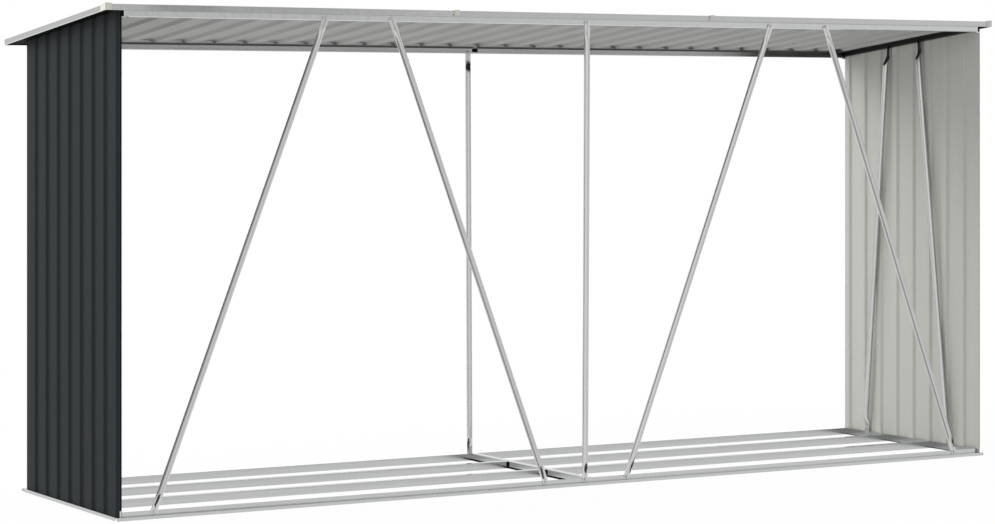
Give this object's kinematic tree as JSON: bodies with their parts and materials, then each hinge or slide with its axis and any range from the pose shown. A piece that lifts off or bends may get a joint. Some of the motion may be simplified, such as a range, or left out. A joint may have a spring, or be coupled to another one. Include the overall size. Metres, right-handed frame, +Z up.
{
  "type": "log store",
  "caption": "Open steel log store: ribbed end walls, single-pitch ribbed roof falling to the rear, folded base rails, and slanting tube braces across the open front.",
  "frame": {"origin": "on the ground, under the middle of the roof's plan", "axes": "+X along the store to the right as seen from the open front, +Y to the rear, +Z up"},
  "size_m": [3.3, 0.8407, 1.5107],
  "materials": {
    "galvanised_steel": "bright galvanised sheet with a fine spangle",
    "coated_sheet": "satin anthracite coat outside, pale grey back coat inside",
    "dark_steel": "satin dark grey coat",
    "cream_plastic": "smooth moulded plastic"
  },
  "bodies": {
    "root": {"base_centre_rail": "galvanised_steel", "base_front_rail_left": "galvanised_steel", "base_front_rail_right": "galvanised_steel", "base_left_rail": "galvanised_steel", "base_rear_rail_left": "galvanised_steel", "base_rear_rail_right": "galvanised_steel", "base_right_rail": "galvanised_steel", "front_beam_left": "galvanised_steel", "front_beam_right": "galvanised_steel", "front_brace_left_inner": "galvanised_steel", "front_brace_left_outer": "galvanised_steel", "front_brace_right_inner": "galvanised_steel", "front_brace_right_outer": "galvanised_steel", "front_floor_rail_left": "galvanised_steel", "front_floor_rail_right": "galvanised_steel", "front_post": "galvanised_steel", "front_trim_centre": "galvanised_steel", "front_trim_left": "galvanised_steel", "front_trim_right": "galvanised_steel", "left_rake_trim": "galvanised_steel", "left_soffit": "dark_steel", "left_wall_brace_front": "galvanised_steel", "left_wall_brace_rear": "galvanised_steel", "left_wall_panel": "coated_sheet", "left_wall_top_rail": "dark_steel", "rear_beam_joint_plate": "dark_steel", "rear_beam_left": "galvanised_steel", "rear_beam_right": "galvanised_steel", "rear_floor_rail_left": "galvanised_steel", "rear_floor_rail_right": "galvanised_steel", "rear_post": "galvanised_steel", "rear_trim_centre": "galvanised_steel", "rear_trim_left": "galvanised_steel", "rear_trim_right": "galvanised_steel", "right_rake_trim": "galvanised_steel", "right_soffit": "dark_steel", "right_wall_brace_front": "galvanised_steel", "right_wall_brace_rear": "galvanised_steel", "right_wall_panel": "coated_sheet", "right_wall_top_rail": "dark_steel", "roof_corner_caps": "cream_plastic", "roof_panel_centre": "coated_sheet", "roof_panel_left": "coated_sheet", "roof_panel_right": "coated_sheet", "trim_joint_clips": "cream_plastic"}
  },
  "joints": []
}
